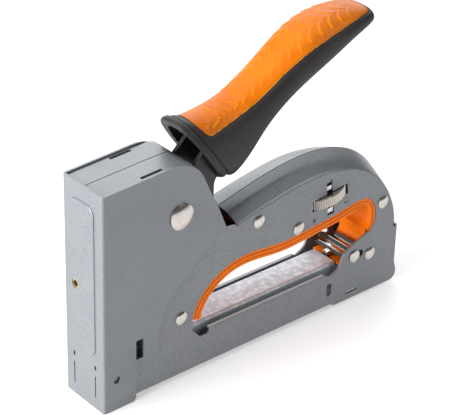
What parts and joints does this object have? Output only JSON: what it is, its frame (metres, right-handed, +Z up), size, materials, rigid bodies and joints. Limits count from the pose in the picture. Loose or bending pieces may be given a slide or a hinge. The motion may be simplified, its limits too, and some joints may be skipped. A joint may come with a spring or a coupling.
{
  "type": "staple gun",
  "caption": "Hand staple gun: steel body with finger opening, sprung squeeze lever with moulded handle, force wheel, staple magazine and latch.",
  "frame": {"origin": "under the middle of the whole staple gun, level with the foot of the nose", "axes": "+X from the nose to the rear, +Y to the right of a user who points the nose away, +Z up"},
  "size_m": [0.1742, 0.031, 0.1476],
  "materials": {
    "body_paint": "silver-grey hammered metallic paint, satin",
    "liner_plastic": "moulded orange plastic, fine grain",
    "plated_steel": "zinc-plated steel",
    "brass": "plain brass",
    "black_rubber": "black rubber",
    "spring_steel": "oiled spring steel",
    "black_steel": "black oxide steel",
    "rivet_nickel": "bright nickel plate",
    "channel_zinc": "zinc plate, satin top and bright bends",
    "black_plastic": "moulded black plastic",
    "latch_chrome": "bright chrome",
    "wheel_plating": "knurled nickel plate",
    "handle_plastic": "moulded black-brown plastic, fine grain",
    "grip_rubber": "soft orange overmould with scale ridges"
  },
  "bodies": {
    "frame": {"left_shell": "body_paint", "right_shell": "body_paint", "nose_cover": "body_paint", "finger_liner": "liner_plastic", "nose_guide": "plated_steel", "front_bush": "brass", "plunger_guides": "plated_steel", "plunger_bumper": "black_rubber", "body_rivets": "rivet_nickel", "lever_pivot_rivet": "rivet_nickel", "body_spacers": "plated_steel", "spring_sleeve": "plated_steel", "drive_spring": "spring_steel", "magazine_channel": "channel_zinc", "latch_spring": "spring_steel"},
    "driver": {"driver_blade": "spring_steel", "plunger": "plated_steel"},
    "lever_arm": {"lever": "black_steel", "lever_bush": "plated_steel", "nose_roller": "spring_steel", "nose_pin": "spring_steel", "handle_body": "handle_plastic", "handle_grip": "grip_rubber"},
    "magazine": {"staple_rail": "plated_steel", "magazine_end": "black_plastic", "guide_rod": "spring_steel", "pusher_spring": "spring_steel"},
    "pusher_body": {"pusher": "plated_steel"},
    "latch": {"magazine_latch": "latch_chrome", "latch_studs": "rivet_nickel"},
    "wheel": {"adjuster_wheel": "wheel_plating"},
    "screw": {"adjuster_screw": "plated_steel"}
  },
  "joints": [
    {"name": "lever_pivot", "type": "hinge", "parent": "frame", "child": "lever_arm", "pos_m": [-0.0458, 0, 0.0831], "axis": [0, 1, 0], "range_deg": [0, 23], "stiffness_Nm_per_rad": 1.5, "springref_deg": -28.65},
    {"name": "driver_lift", "type": "slide", "parent": "frame", "child": "driver", "axis": [0, 0, 1], "range_m": [0, 0.0125], "deforming": ["drive_spring"]},
    {"name": "adjuster_turn", "type": "hinge", "parent": "frame", "child": "wheel", "pos_m": [0.0409, 0, 0.0611], "axis": [-0.1219, 0, 0.9925], "range_deg": [-360, 360]},
    {"name": "adjuster_travel", "type": "slide", "parent": "frame", "child": "screw", "axis": [-0.1219, 0, 0.9925], "range_m": [-0.00101, 0.00101]},
    {"name": "magazine_slide", "type": "slide", "parent": "frame", "child": "magazine", "axis": [1, 0, 0], "range_m": [0, 0.09]},
    {"name": "pusher_slide", "type": "slide", "parent": "magazine", "child": "pusher_body", "axis": [1, 0, 0], "range_m": [0, 0.105], "stiffness_N_per_m": 60, "springref_m": -0.05, "deforming": ["pusher_spring"]},
    {"name": "latch_slide", "type": "slide", "parent": "frame", "child": "latch", "axis": [1, 0, 0], "range_m": [0, 0.0018], "stiffness_N_per_m": 600, "springref_m": -0.003, "deforming": ["latch_spring"]}
  ],
  "couplings": [
    {"joint": "driver_lift", "follows": "lever_pivot", "m_per_rad": 0.030338},
    {"joint": "adjuster_travel", "follows": "adjuster_turn", "m_per_rad": 0.00015915}
  ]
}
